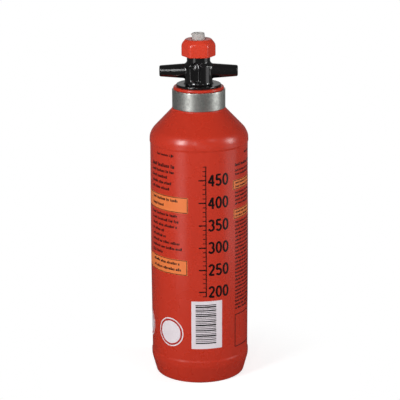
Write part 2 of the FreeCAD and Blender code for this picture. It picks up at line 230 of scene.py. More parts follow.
def wallRows(radius, heights):  # profile points at one radius
    return np.stack([np.full(len(heights), radius), heights], axis=-1)


def joinedProfile(*parts):  # radius and height columns of the parts in turn, and for each part its own rows
    line = np.concatenate(parts)
    owner = np.repeat(np.arange(len(parts)), [len(part) for part in parts])[:, None]
    return line[:, :1], line[:, 1:], [owner == part for part in range(len(parts))]


def roundAxis(radius, height, angle):  # points round the axis, angles counted from the front to the right
    radius, height, angle = np.broadcast_arrays(radius, height, angle)
    return np.stack([radius * np.sin(angle), -radius * np.cos(angle), height], axis=-1)


def evenAngles(count):  # one turn in equal steps
    return np.linspace(0, 2 * np.pi, count, endpoint=False)


def mergedAngles(*groups):  # sorted angles in one turn, close ones dropped
    angles = np.sort(np.concatenate(groups) % (2 * np.pi))
    return angles[np.concatenate([[True], np.diff(angles) > 1e-4])]


def smooth(low, high, value):  # 0 below low, 1 above high, an S-curve between
    part = np.clip((value - low) / (high - low), 0, 1)
    return part * part * (3 - 2 * part)


def gridFaces(rows, columns, first, closedRows):
    # quads between neighbours on a grid whose columns close on themselves, and whose rows may
    index = first + np.arange(rows * columns).reshape(rows, columns)
    index = np.vstack([index, index[:1]]) if closedRows else index
    index = np.hstack([index, index[:, :1]])
    return np.stack([index[:-1, :-1], index[:-1, 1:], index[1:, 1:], index[1:, :-1]], axis=-1).reshape(-1, 4)


def addPiece(look, grids, material):
    # grids of points, each with whether its rows close, become one smooth mesh that rides on the piece's body
    points = np.concatenate([grid.reshape(-1, 3) for grid, closed in grids]) * mm
    firsts = np.cumsum([0] + [grid.shape[0] * grid.shape[1] for grid, closed in grids])
    faces = np.concatenate([gridFaces(*grid.shape[:2], first, closed)
                            for (grid, closed), first in zip(grids, firsts)])
    mesh = bpy.data.meshes.new(look["name"])
    mesh.vertices.add(len(points))
    mesh.vertices.foreach_set("co", points.ravel())
    mesh.loops.add(faces.size)
    mesh.loops.foreach_set("vertex_index", faces.ravel())
    mesh.polygons.add(len(faces))
    mesh.polygons.foreach_set("loop_start", np.arange(0, faces.size, 4))
    mesh.polygons.foreach_set("use_smooth", np.ones(len(faces), bool))
    mesh.update(calc_edges=True)
    merged = bmesh.new()  # closes the poles, where a whole row is one point
    merged.from_mesh(mesh)
    bmesh.ops.remove_doubles(merged, verts=merged.verts, dist=1e-7)
    bmesh.ops.recalc_face_normals(merged, faces=merged.faces)
    merged.to_mesh(mesh)
    merged.free()
    mesh.set_sharp_from_angle(angle=math.radians(50))  # cut edges, as on films, stay crisp
    mesh.materials.append(material)
    piece = bpy.data.objects.new(look["name"], mesh)
    bpy.context.scene.collection.objects.link(piece)
    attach(piece, look["body"])
    if "node" in look:
        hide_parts(look["node"])
    print("piece", look["name"], len(mesh.polygons), "faces")
    return piece


thread = {"runOut": 1.6, "crest": 0.14, "ridge": 0.30}  # length of the ends, and half widths in pitches


def threadRidge(height, angle, look):
    # right-handed helical ridge: 1 on the crest, 0 in the root, with S-curved flanks, fading out at both ends
    turns = (height - look["threadLow"]) / look["pitch"] - angle / (2 * np.pi)
    fromCrest = np.abs((turns + 0.5) % 1 - 0.5)
    fadeIn = smooth(look["threadLow"], look["threadLow"] + thread["runOut"], height)
    fadeOut = smooth(look["threadTop"], look["threadTop"] - thread["runOut"], height)
    return smooth(thread["ridge"], thread["crest"], fromCrest) * fadeIn * fadeOut


# Bottle: one blow-moulded shell
bottle = {
    "name": "bottleShell", "node": "bottle_shell", "body": "bottle", "slot": "bottle_plastic",
    "top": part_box("bottle_shell")[1].z / mm, "ledge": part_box("neck_ring")[0].z / mm, "wall": 2.1,
    "hollow": 20.0, "hollowTop": 3.0, "footInner": 24.0, "foot": 30.7, "heel": 12.6, "bend": 12.0,
    "band": 34.15, "lowBandTop": 16.4, "topBandLow": 168.17,
    "panel": 33.75, "panelLow": 17.9, "panelTop": 165.97, "swell": 0.28,
    "shoulder": 17.19, "innerShoulder": 32.4, "neckFoot": 18.45, "neck": 16.7, "bore": 14.2,
    "lip": 0.7, "lipHeight": 1.9, "seat": 0.9, "seatDepth": 1.2, "throatDepth": 16.7, "throatRows": 64,
    "pitch": 4.0, "threadLow": 190.6, "threadTop": 203.6, "threadDepth": 0.72,
    "seamHeight": 0.07, "panelSeam": 0.018, "seamWidth": 0.28, "seamInner": 19.0, "seamLow": 2.5,
    "seamClear": 0.08, "pinchDepth": 0.35, "pinchWidth": 0.6, "pinchFull": 16.0,
}


def panelRadius(height):  # label panel, swollen by a sine-squared bulge at mid height
    part = np.clip((height - bottle["panelLow"]) / (bottle["panelTop"] - bottle["panelLow"]), 0, 1)
    return bottle["panel"] + bottle["swell"] * np.sin(np.pi * part) ** 2


def makeBottle(look):
    # outside, throat and inside are one profile turned round the axis; the panel's swell and bell-shaped
    # seams add to its radius, the thread's ridge takes from it, and a bell-shaped pinch line lowers the base
    top, ledge, wall, foot, bend = (look[key] for key in ("top", "ledge", "wall", "foot", "bend"))
    band, panel, neck, bore = (look[key] for key in ("band", "panel", "neck", "bore"))
    hollow, hollowTop, footInner = (look[key] for key in ("hollow", "hollowTop", "footInner"))
    neckFoot, lip, mouth = look["neckFoot"], neck + look["lip"], bore + look["seat"]
    lipLow, seat, throatLow = (top - look[key] for key in ("lipHeight", "seatDepth", "throatDepth"))
    outside = roundedProfile([
        (0, hollowTop, 0), (hollow, hollowTop, 4.0), (footInner, 0, 1.33), (foot, 0, 2.2),
        (band, look["heel"], bend), (band, look["lowBandTop"], 0.8), (panel, look["panelLow"] - 0.2, 1.2),
        (panel, look["panelTop"] + 0.8, 0.25), (band, look["topBandLow"], 0.8),
        (band, ledge - look["shoulder"], bend), (neckFoot, ledge - 0.7, 0.35), (neckFoot, ledge, 0.15),
        (neck, ledge, 0.1), (neck, lipLow, 0.1), (lip, lipLow, 0.45), (lip, top, 0.9),
        (mouth, top, 0.3), (mouth, seat, 0.1), (bore, seat, 0.25), (bore, seat - 0.35, 0),
    ], closed=False, steps=8, longest=3.0)
    throat = wallRows(bore, np.linspace(seat - 0.4, throatLow + 0.1, look["throatRows"]))
    inside = roundedProfile([
        (bore, throatLow, 0), (panel - wall, top - look["innerShoulder"], bend - wall),
        (panel - wall, look["heel"], bend), (foot - wall, wall, 2.2), (footInner, wall, 1.33),
        (hollow, hollowTop + wall, 4.0), (0, hollowTop + wall, 0),
    ], closed=False, steps=8, longest=8.0)
    radius, height, (outer, onThroat, _) = joinedProfile(outside, throat, inside)
    beside = np.radians([0.1, 0.2, 0.35, 0.55, 0.9, 1.4, 2.2, 3.2])  # close columns at the seams
    sides = (side * np.pi / 2 + sign * beside for side in (1, -1) for sign in (1, -1))
    angle = mergedAngles(evenAngles(180), *sides)
    fromSeam = np.abs(np.cos(angle)) * radius
    onPanel = outer & (height > look["panelLow"]) & (height < look["panelTop"])
    onSide = outer & (height > look["seamLow"]) & (height < ledge)
    onSide = onSide & (radius > look["seamInner"]) & (radius < band - look["seamClear"])  # not on the bands
    swell = (panelRadius(height) - panel) * onPanel
    seam = np.where(onPanel, look["panelSeam"], look["seamHeight"]) * onSide  # lower under the films
    seam = seam * np.exp(-(fromSeam / look["seamWidth"]) ** 2)
    ridge = look["threadDepth"] * threadRidge(height, angle, look) * onThroat
    onBase = outer & (height < look["heel"])
    pinch = np.exp(-(fromSeam / look["pinchWidth"]) ** 2) * onBase
    pinch = look["pinchDepth"] * pinch * smooth(look["seamInner"], look["pinchFull"], radius)
    addPiece(look, [(roundAxis(radius + swell + seam - ridge, height - pinch, angle), False)], bottleRed)


makeBottle(bottle)


# Band round the neck, and the soft ring under the cap's flange
def turnedRing(look, material):  # rectangle with rounded corners turned round the axis
    inner, outer, low, top = (look[key] for key in ("inner", "outer", "low", "top"))
    corners = [(inner, low), (outer, low), (outer, top), (inner, top)]
    rounded = [(*corner, rounding) for corner, rounding in zip(corners, look["roundings"])]
    profile = roundedProfile(rounded, steps=5)
    addPiece(look, [(roundAxis(profile[:, :1], profile[:, 1:], evenAngles(look["columns"])), True)], material)


neckRing = {
    "name": "neckRing", "node": "neck_ring", "body": "bottle", "slot": "ring_metal",
    "low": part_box("neck_ring")[0].z / mm, "top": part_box("neck_ring")[1].z / mm,
    "inner": 16.8, "outer": 18.3, "roundings": (0.08, 0.42, 0.42, 0.08), "columns": 160,
}
turnedRing(neckRing, ringAluminium)
flangeGasket = {
    "name": "flangeGasket", "node": "flange_gasket", "body": "gasket", "slot": "seal_rubber",
    "low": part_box("flange_gasket")[0].z / mm, "top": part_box("flange_gasket")[1].z / mm,
    "inner": 13.15, "outer": 14.95, "roundings": (0.25, 0.25, 0.3, 0.3), "columns": 128,
}
turnedRing(flangeGasket, sealRubber)

# Cap: plug, flange, hub with a niche front and back, collar and two wings
cap = {
    "name": "capBody", "node": "cap_body", "body": "cap", "slot": "cap_plastic",
    "low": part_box("cap_body")[0].z / mm, "top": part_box("cap_body")[1].z / mm,
    "reach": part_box("cap_body")[1].x / mm, "plug": 13.0, "plugFoot": 12.2,
    "flange": 15.35, "flangeLow": 206.3, "flangeTop": 207.7, "rootFillet": 1.5,
    "hub": 9.55, "hubTop": 220.7, "hubRound": 0.9,
    "collar": 8.0, "collarLow": 223.1, "collarStep": 226.5, "upperCollar": 7.65,
    "pocket": 6.3, "pocketFloor": 203.5, "guide": 4.05, "guideLow": 197.2,
    "chamber": 6.1, "chamberLow": 195.0, "insert": 7.5, "moat": (8.7, 11.8), "moatDepth": 13.0,
    "wingHeight": 216.5, "wingRoot": 5.1, "wingTip": 3.8, "wingFillet": 0.9, "wingTipRound": 1.0,
    "wingSunk": 0.6, "wingLean": 0.6, "tipRing": 1.2,
    "niche": (-5.3, 1.3), "nicheRadius": 9.0725, "nicheLow": 209.9, "nicheTop": 223.6, "nicheFoot": 1.3,
    "nicheFloor": 7.2, "core": 7.6, "rollLow": 217.0, "rollBack": 1.6, "rollBlend": 0.35,
    "nicheWall": 5, "nicheEdge": 0.8,
    "pitch": 4.0, "threadLow": 188.4, "threadTop": 203.6, "threadDepth": 0.62, "threadRows": 76,
}


def hubRadius(height):  # straight wall to the hub's top, a cone to the collar's foot, then the collar
    return np.interp(height, [cap["hubTop"], cap["collarLow"]], [cap["hub"], cap["collar"]])


def nicheDepth(radius, angle, height):
    # depth of the niches, front and back: to a floor that is flat below and rolls back to a round core above,
    # within walls that rise as a power of the distance from the middle, arched above and squarer below
    left, right = cap["niche"]
    middle, half = (left + right) / 2, (right - left) / 2
    across = (cap["nicheRadius"] * np.sin(angle) * np.sign(np.cos(angle)) - middle) / half
    over = np.maximum(height - (cap["nicheTop"] - half), 0) / half
    under = np.maximum(cap["nicheLow"] + cap["nicheFoot"] - height, 0) / cap["nicheFoot"]
    fromMiddle = np.sqrt(across ** 2 + over ** 2 + under ** 2)
    rolled = np.clip((height - cap["rollLow"]) / (cap["nicheTop"] - cap["rollLow"]), 0, 1)
    core = cap["core"] - cap["rollBack"] * rolled ** 2
    flat = cap["nicheFloor"] / np.maximum(np.abs(np.cos(angle)), 0.5)
    floor = flat + (core - flat) * smooth(0, cap["rollBlend"], rolled)
    share = np.maximum(1 - fromMiddle ** cap["nicheWall"], 0) ** cap["nicheEdge"]
    return np.maximum(radius - floor, 0) * share


def wingGrid(look, side):
    # tapered round bar of rings at distances out from the hub's wall, flared by a quarter circle at the root
    # and closed by one at the tip; each ring leans on the hub's curve at the root and is flat at the tip
    length, fillet, tipRound = look["reach"] - look["hub"], look["wingFillet"], look["wingTipRound"]
    quarter = np.linspace(0, np.pi / 2, 9)
    tipStart = length - tipRound
    out = np.concatenate([
        [-look["wingSunk"]] * 2, fillet * (1 - np.cos(quarter)),
        np.linspace(fillet + 0.3, tipStart - 0.3, 14), tipStart + tipRound * np.sin(quarter), [length] * 2,
    ])
    taper = look["wingRoot"] + (look["wingTip"] - look["wingRoot"]) * np.clip(out / length, 0, 1)
    flare = fillet - np.sqrt(fillet ** 2 - (fillet - np.clip(out, 0, fillet)) ** 2)
    inTip = np.clip((out - tipStart) / tipRound, 0, 1)
    ringRadius = taper + flare - tipRound * (1 - np.sqrt(1 - inTip ** 2))
    ringRadius[[0, -2, -1]] = 0.0, look["tipRing"], 0.0  # poles inside the hub and on the tip's flat end
    around = evenAngles(64)
    y = ringRadius[:, None] * np.cos(around)
    z = look["wingHeight"] + ringRadius[:, None] * np.sin(around)
    wall = np.sqrt(hubRadius(z) ** 2 - y ** 2)
    flat = smooth(0.0, look["wingLean"] * length, out)[:, None]
    x = wall + (look["hub"] - wall) * flat + out[:, None]
    return np.stack([side * x, y, z], axis=-1)


def makeCap(look):
    # plug, flange, hub, collar and the hollow inside are one profile turned round the axis; a groove for the
    # neck's ridge and the niches take from its radius, and two wings join it
    low, top, plug, flange, hub = (look[key] for key in ("low", "top", "plug", "flange", "hub"))
    flangeLow, flangeTop, fillet = (look[key] for key in ("flangeLow", "flangeTop", "rootFillet"))
    collar, collarLow, collarStep = (look[key] for key in ("collar", "collarLow", "collarStep"))
    upperCollar, pocket, pocketFloor = (look[key] for key in ("upperCollar", "pocket", "pocketFloor"))
    guide, guideLow, chamber = (look[key] for key in ("guide", "guideLow", "chamber"))
    chamberLow, insert, (moatInner, moatOuter) = (look[key] for key in ("chamberLow", "insert", "moat"))
    hubLow, moatTop = flangeTop + fillet, low + look["moatDepth"]
    foot = roundedProfile([
        (look["plugFoot"] + 0.1, low, 0), (plug, low, 0.6), (plug, low + 1.1, 0),
    ], closed=False)
    grooved = wallRows(plug, np.linspace(low + 1.2, flangeLow - 0.6, look["threadRows"]))
    rim = roundedProfile([
        (plug, flangeLow - 0.5, 0), (plug, flangeLow, 0.15), (flange, flangeLow, 0.45),
        (flange, flangeTop, 0.45), (hub, flangeTop, fillet), (hub, hubLow + 0.1, 0),
    ], closed=False)
    hubWall = roundedProfile([
        (hub, hubLow + 0.2, 0), (hub, look["hubTop"], look["hubRound"]),
        (collar, collarLow, look["hubRound"]), (collar, collarLow + 0.4, 0),
    ], closed=False, longest=0.17)
    crown = roundedProfile([
        (collar, collarLow + 0.5, 0), (collar, collarStep, 0.25), (upperCollar, collarStep + 0.6, 0.25),
        (upperCollar, top, 0.5), (pocket, top, 0.3), (pocket, pocketFloor, 0.2), (guide, pocketFloor, 0.2),
        (guide, guideLow, 0.1), (chamber, guideLow, 0.15), (chamber, chamberLow, 0.1),
        (insert, chamberLow, 0.1), (insert, low, 0.15), (moatInner, low, 0.3), (moatInner, moatTop, 0.3),
        (moatOuter, moatTop, 0.3), (moatOuter, low, 0.3), (look["plugFoot"], low, 0),
    ], closed=False, longest=3.0)
    radius, height, (_, onGrooved, _, onHub, _) = joinedProfile(foot, grooved, rim, hubWall, crown)
    beside = np.radians(np.arange(-34, 34.1, 0.9))  # close columns at the niches
    angle = mergedAngles(evenAngles(84), beside, beside + np.pi)
    groove = look["threadDepth"] * threadRidge(height, angle, look) * onGrooved
    niches = nicheDepth(radius, angle, height) * onHub
    wings = [(wingGrid(look, side), False) for side in (1, -1)]
    addPiece(look, [(roundAxis(radius - groove - niches, height, angle), True)] + wings, capBlack)


makeCap(cap)

# Knob: rounded hexagon under a turned cone, hollow below
knob = {
    "name": "hexagonKnob", "node": "knob", "body": "knob", "slot": "knob_plastic",
    "low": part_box("knob")[0].z / mm, "top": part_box("knob")[1].z / mm, "flat": 10.5, "cornerRound": 3.0,
    "reach": 13.1, "topRadius": 8.85, "slope": 1.19, "rim": 0.9, "edgeBlend": 1.3,
    "cavity": 8.5, "ceiling": 235.2, "hole": 5.1,
}


def hexagonRadius(angle, flat, cornerRound):
    # distance from the axis to the edge of a hexagon: straight flats, and corner arcs of the rounding radius
    fromCorner = (angle + np.pi / 2 + np.pi / 6) % (np.pi / 3) - np.pi / 6
    arcCentre = (flat - cornerRound) / math.cos(math.pi / 6)
    limit = math.atan2(cornerRound / 2, arcCentre + cornerRound * math.cos(math.pi / 6))
    onFlat = flat / np.cos(np.pi / 6 - np.abs(fromCorner))
    aside = arcCentre * np.sin(fromCorner)
    onArc = arcCentre * np.cos(fromCorner) + np.sqrt(np.maximum(cornerRound ** 2 - aside ** 2, 0))
    return np.where(np.abs(fromCorner) < limit, onArc, onFlat)


def softMin(a, b, width):  # the smaller of two values, blended where they are closer than width
    near = np.maximum(width - np.abs(a - b), 0) / width
    return np.minimum(a, b) - near * near * width / 4


def makeKnob(look):
    # profile turned round the axis: the foot's radius is stretched to end on the hexagon, and above it the
    # radius is the softened smaller one of hexagon and cone
    low, top, cavity, outer = (look[key] for key in ("low", "top", "cavity", "reach"))
    coneLow = top - (outer - look["topRadius"]) * look["slope"]
    profile = roundedProfile([
        (cavity, low, 0.25), (outer, low, look["rim"]), (outer, coneLow, 0.3), (look["topRadius"], top, 0.6),
        (look["hole"], top, 0.25), (look["hole"], look["ceiling"], 0.1), (cavity, look["ceiling"], 0.3),
    ], longest=0.4)
    radius, height = profile[:, :1], profile[:, 1:]
    beside = np.pi / 2 + np.radians(np.arange(-12, 12.1, 1.0))  # close columns at the corners
    angle = mergedAngles(evenAngles(144), *(beside + corner * np.pi / 3 for corner in range(6)))
    edge = hexagonRadius(angle, look["flat"], look["cornerRound"])
    stretched = cavity + (edge - cavity) * (radius - cavity) / (outer - cavity)
    onFoot = height < low + look["rim"] + 1e-6
    wallRadius = np.where(onFoot, stretched, softMin(edge, radius, look["edgeBlend"]))
    addPiece(look, [(roundAxis(wallRadius, height, angle), True)], knobRed)


makeKnob(knob)

# Stem: spigot, keyed shaft with cross ports, threaded head and nozzle with a pouring beak
stem = {
    "name": "valveStem", "node": "valve_stem", "body": "valve", "slot": "stem_plastic",
    "low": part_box("valve_stem")[0].z / mm, "top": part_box("valve_stem")[1].z / mm,
    "spigot": 2.5, "shaftLow": 185.3, "shaft": 4.0, "headLow": 225.0, "head": 5.0, "headTop": 238.6,
    "nozzleRoot": 4.55, "nozzleTip": 4.1, "bore": 3.0, "boreFloor": 189.3,
    "keyLow": 201.0, "keyTop": 206.5, "keyRadius": 4.8, "keyHalf": 0.8,
    "portHeight": 191.0, "portRadius": 1.3, "portDepth": 0.95, "portEdge": 0.08,
    "pitch": 2.0, "threadLow": 225.4, "threadTop": 238.5, "threadDepth": 0.42, "threadRows": 96,
    "beakReach": 1.1, "beakDrop": 0.7, "beakDepth": 1.3, "beakHalf": 2.0, "beakRidge": 0.2,
}


def makeStem(look):
    # turned profile whose radius also depends on the angle: two keys, four blind ports, a helical ridge on
    # the head, and a beak that swells the rim to the left by a triangle in height and an S-curve to each side
    low, top, shaft, bore = (look[key] for key in ("low", "top", "shaft", "bore"))
    spigot, shaftLow, portHeight = (look[key] for key in ("spigot", "shaftLow", "portHeight"))
    headLow, headTop, headRoot = look["headLow"], look["headTop"], look["head"] - look["threadDepth"]
    keyLow, keyTop, keyRadius, keyHalf = (look[key] for key in ("keyLow", "keyTop", "keyRadius", "keyHalf"))
    foot = roundedProfile([
        (0, low, 0), (spigot, low, 0.2), (spigot, shaftLow, 0.1), (shaft, shaftLow, 0.25),
        (shaft, shaftLow + 1.0, 0),
    ], closed=False)
    shank = wallRows(shaft, np.concatenate([
        np.linspace(portHeight - 1.7, portHeight + 1.7, 24), np.linspace(portHeight + 3.0, keyLow - 2.0, 3),
        [keyLow - 0.05, keyLow + 0.05, keyTop - 0.05, keyTop + 0.05],
        np.linspace(keyTop + 2.5, headLow - 0.4, 6),
    ]))
    headFoot = np.array([(shaft, headLow), (headRoot, headLow)])
    head = wallRows(headRoot, np.linspace(headLow + 0.35, headTop - 0.3, look["threadRows"]))
    nozzle = roundedProfile([
        (look["nozzleRoot"], headTop, 0), (look["nozzleTip"], top, 0.3), (bore, top, 0.25),
        (bore, look["boreFloor"], 0.3), (0, look["boreFloor"], 0),
    ], closed=False, longest=0.25)
    radius, height, (_, onShank, _, onHead, _) = joinedProfile(foot, shank, headFoot, head, nozzle)
    beside = np.radians(np.arange(-24, 24.1, 2.0))  # close columns at the keys and ports
    angle = mergedAngles(evenAngles(72), *(beside + quarter * np.pi / 2 for quarter in range(4)))
    fromKey = np.abs(np.arcsin(np.cos(angle)))
    key = np.interp(fromKey, np.arcsin([keyHalf / keyRadius, keyHalf / shaft]), [keyRadius - shaft, 0])
    key = key * (height > keyLow) * (height < keyTop)
    fromPort = np.abs((angle + np.pi / 4) % (np.pi / 2) - np.pi / 4) * shaft
    fromPort = np.hypot(fromPort, height - portHeight) / look["portRadius"]
    port = look["portDepth"] * smooth(1 + look["portEdge"], 1 - look["portEdge"], fromPort)
    ridge = look["threadDepth"] * threadRidge(height, angle, look)
    beakHeights = np.cumsum([0, look["beakDrop"], look["beakDepth"]])
    beak = look["beakReach"] * np.interp(top - height, beakHeights, [0, 1, 0])
    beak = beak * smooth(look["beakHalf"], look["beakRidge"], np.abs(np.cos(angle)) * radius)
    beak = beak * (np.sin(angle) < 0) * (radius > (bore + look["nozzleTip"]) / 2)  # left, outer wall only
    wallRadius = radius + onShank * (key - port) + onHead * ridge + beak
    addPiece(look, [(roundAxis(wallRadius, height, angle), False)], stemNatural)


makeStem(stem)

# Spring: round wire along a helix
spring = {
    "name": "returnSpring", "node": "return_spring", "body": "cap", "slot": "spring_steel", "wire": 0.9,
    "turns": 6.5, "radius": 5.5, "low": 203.5, "length": 20.5, "endGap": 0.05, "travel": 3.0, "rows": 260,
}


def makeSpring(look):  # circle of the wire's radius carried along a helix, its ends closed to points
    turns = np.concatenate([[0], np.linspace(0, look["turns"], look["rows"]), [look["turns"]]])
    size = np.concatenate([[0], np.full(look["rows"], look["wire"] / 2), [0]])[:, None, None]
    rise = look["length"] - look["wire"] - 2 * look["endGap"]
    a = 2 * np.pi * turns
    height = look["low"] + look["wire"] / 2 + look["endGap"] + rise * turns / look["turns"]
    centre = np.stack([look["radius"] * np.cos(a), look["radius"] * np.sin(a), height], axis=-1)
    outward = np.stack([np.cos(a), np.sin(a), 0 * a], axis=-1)
    climb = np.full_like(a, rise / look["turns"] / 2 / np.pi)
    along = np.stack([-look["radius"] * np.sin(a), look["radius"] * np.cos(a), climb], axis=-1)
    upward = np.cross(along / np.linalg.norm(along, axis=1)[:, None], outward)
    around = evenAngles(12)[None, :, None]
    points = centre[:, None] + size * (outward[:, None] * np.cos(around) + upward[:, None] * np.sin(around))
    piece = addPiece(look, [(points, False)], springWire)
    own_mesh(piece)


makeSpring(spring)

# Pieces whose solids are already right take a finish only
for node, finish in {"seat_insert": stemNatural, "valve_disc": stemNatural, "valve_seal": sealRubber,
                     "stem_o_ring": sealRubber, "knob_ring": sealRubber, "spring_washer": springWire}.items():
    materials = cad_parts[node].data.materials
    materials.clear()
    materials.append(finish)
print("solids dressed")

# Print on the panel: thin films that follow its curve, laid in levels that rise by a step
film = {"under": -0.02, "over": 0.03, "step": 0.02}


def aroundPanel(degrees):  # arc length on the panel, from the front to the right
    return math.radians(degrees) * bottle["panel"]


def filmGrid(path, width, level=0, closed=False, across=1):
    # flat strip of the given width, or widths, carried along a path of (arc length, height) points and
    # wrapped on the panel: an outer face on its level, edges, and an inner face just below the plastic's skin
    path = np.asarray(path, float)
    ahead = np.roll(path, -1, 0) - np.roll(path, 1, 0) if closed else np.gradient(path, axis=0)
    ahead = ahead / np.linalg.norm(ahead, axis=1)[:, None]
    sideways = np.stack([-ahead[:, 1], ahead[:, 0]], axis=-1)
    spread = np.linspace(-0.5, 0.5, across + 1)
    spread = np.concatenate([spread, spread[::-1]])
    lift = np.repeat([film["under"], film["over"] + level * film["step"]], across + 1)
    width = np.broadcast_to(width, len(path))
    flat = path[:, None] + sideways[:, None] * (width[:, None] * spread)[:, :, None]
    grid = roundAxis(panelRadius(flat[..., 1]) + lift, flat[..., 1], flat[..., 0] / bottle["panel"])
    if not closed:  # a fan round the middle closes each end
        ends = grid[[0, -1]].mean(axis=1, keepdims=True).repeat(len(spread), axis=1)
        grid = np.concatenate([ends[:1], grid, ends[1:]])
    return grid, closed


def straight(start, end):  # points about a millimetre apart
    count = max(2, math.ceil(math.dist(start, end)) + 1)
    return np.linspace(start, end, count)


def arcPath(centre, radii, start, end, count=14):  # part of an ellipse, angles in degrees
    turn = np.radians(np.linspace(start, end, count))
    return np.stack([centre[0] + radii[0] * np.cos(turn), centre[1] + radii[1] * np.sin(turn)], axis=-1)


def drawn(points, spacing=0.6):  # the same line with evenly spaced points, to follow the panel's curve
    along = np.concatenate([[0], np.cumsum(np.linalg.norm(np.diff(points, axis=0), axis=1))])
    stops = np.linspace(0, along[-1], max(3, math.ceil(along[-1] / spacing)))
    return np.stack([np.interp(stops, along, points[:, 0]), np.interp(stops, along, points[:, 1])], axis=-1)


def discFilm(centre, height, radius, level):  # round film: a strip whose width follows the circle
    along = np.cos(np.linspace(np.pi - 0.02, 0.02, 48))
    path = np.stack([aroundPanel(centre) + radius * along, np.full(48, height)], axis=-1)
    return filmGrid(path, 2 * radius * np.sqrt(1 - along ** 2), level, across=10)


def ringFilm(centre, height, radius, width, level):  # narrow band round a circle
    path = arcPath((aroundPanel(centre), height), (radius, radius), 0, 354, 60)
    return filmGrid(path, width, level, closed=True)


def panelFilm(left, right, low, high, level=0, across=6):  # rectangle between two angles and two heights
    middle = (low + high) / 2
    path = straight((aroundPanel(left), middle), (aroundPanel(right), middle))
    return filmGrid(path, high - low, level, across=across)


def frameFilm(left, right, low, high, width, level):  # outline of such a rectangle, one closed strip
    left, right = aroundPanel(left), aroundPanel(right)
    corners = [(left, low), (right, low), (right, high), (left, high)]
    sides = [straight(corners[i - 1], corners[i])[:-1] for i in range(4)]
    return filmGrid(np.concatenate(sides), width, level, closed=True)


# Orange print: plain panels, as (left, right, low, high) in degrees and millimetres
orange = {
    "name": "orangePrint", "body": "bottle", "slot": "bottle_plastic",
    "panels": [(-96, -13.1, 124.0, 135.2), (-96, -14.2, 79.7, 90.7),
               (42.5, 96, 138.4, 145.2), (43.5, 96, 117.6, 124.6)],
}
# Black print: a graduated scale, rows of plain blocks, frames and a pointer at the fill height
black = {
    "name": "blackPrint", "body": "bottle", "slot": "bottle_plastic",
    "scaleAt": 4.5, "volumes": (190, 480), "numerals": (200, 450), "fillVolume": 500, "fillHeight": 163.4,
    "volumePerMm": 3.147, "rule": 0.7, "overrun": 0.3, "tick": (2.2, 0.55), "longTick": (5.0, 0.9),
    "numeralSize": (7.396, 8.6), "numeralStep": 5.1772, "numeralGap": 1.6, "stroke": 1.45,
    "groups": (4, 7, 2, 5, 8, 3, 6), "tallBlock": 1.4, "narrowBlock": 0.5, "widen": 0.12,
    "gap": 0.22, "groupGap": 0.6,
    "frameInset": (0.9, 0.4), "frameLine": 0.45, "sideFrame": (46.6, 84, 24.5, 48.0), "sideLine": 0.6,
    "pointer": (-34.6, -30.2), "pointerWidths": (2.8, 0.1),
}


def numeral(digit):  # strokes of a plain numeral in a box 0.6 wide and 1 high
    return {
        "0": [arcPath((0.3, 0.5), (0.23, 0.42), 90, 450, 30)],
        "2": [np.concatenate([arcPath((0.29, 0.69), (0.22, 0.23), 165, -35), [[0.09, 0.09], [0.56, 0.08]]])],
        "3": [arcPath((0.27, 0.71), (0.22, 0.21), 155, -80), arcPath((0.27, 0.30), (0.25, 0.22), 80, -155)],
        "4": [np.array([[0.42, 0.0], [0.42, 0.94], [0.05, 0.32], [0.6, 0.30]])],
        "5": [np.concatenate([[[0.52, 0.92], [0.13, 0.92], [0.10, 0.50]],
                              arcPath((0.28, 0.32), (0.24, 0.25), 125, -150)])],
    }[digit]


def scaleHeight(volume):  # height on the scale, evenly divided down from the fill height
    return black["fillHeight"] - (black["fillVolume"] - volume) / black["volumePerMm"]


def scaleFilms(look):  # a rule, ticks at every 10 ml, and longer ones with numerals at every 50 ml
    at, (lowest, highest), size = look["scaleAt"], look["volumes"], np.array(look["numeralSize"])
    rule = straight((at, scaleHeight(lowest) - look["overrun"]), (at, scaleHeight(highest) + look["overrun"]))
    films = [filmGrid(rule, look["rule"])]
    for volume in range(lowest, highest + 1, 10):
        length, width = look["longTick"] if volume % 50 == 0 else look["tick"]
        films.append(filmGrid(straight((at - length, scaleHeight(volume)), (at, scaleHeight(volume))), width))
    for volume in range(look["numerals"][0], look["numerals"][1] + 1, 50):
        for place, digit in enumerate(str(volume)):
            left = at + look["numeralGap"] + place * look["numeralStep"]
            corner = np.array([left, scaleHeight(volume) - size[1] / 2])
            for stroke in numeral(digit):
                path = drawn(corner + stroke * size)
                loop = digit == "0"
                films.append(filmGrid(path[:-1] if loop else path, look["stroke"], closed=loop))
    return films


def rowsDown(top, spacing, start, ends):  # rows one below another, from one start angle to the ends given
    return [(top - spacing * i, start, end) for i, end in enumerate(ends)]


def blockFilms(look, rows, size, level):
    # rows of plain blocks in uneven groups, some taller; their widths and gaps are shares of the block height
    films = []
    for row, (height, start, end) in enumerate(rows):
        here, last = aroundPanel(start), aroundPanel(end)
        count, group = 0, row * 3
        while here < last:
            high = size * (look["tallBlock"] if (count * 5 + row) % 7 < 2 else 1.0)
            wide = size * (look["narrowBlock"] + look["widen"] * ((count * 3 + row) % 4))
            middle = height + (high - size) / 2
            films.append(filmGrid(straight((here, middle), (here + wide, middle)), high, level))
            count += 1
            here += wide + look["gap"] * size
            if count == look["groups"][group % len(look["groups"])]:
                here, count, group = here + look["groupGap"] * size, 0, group + 1
    return films


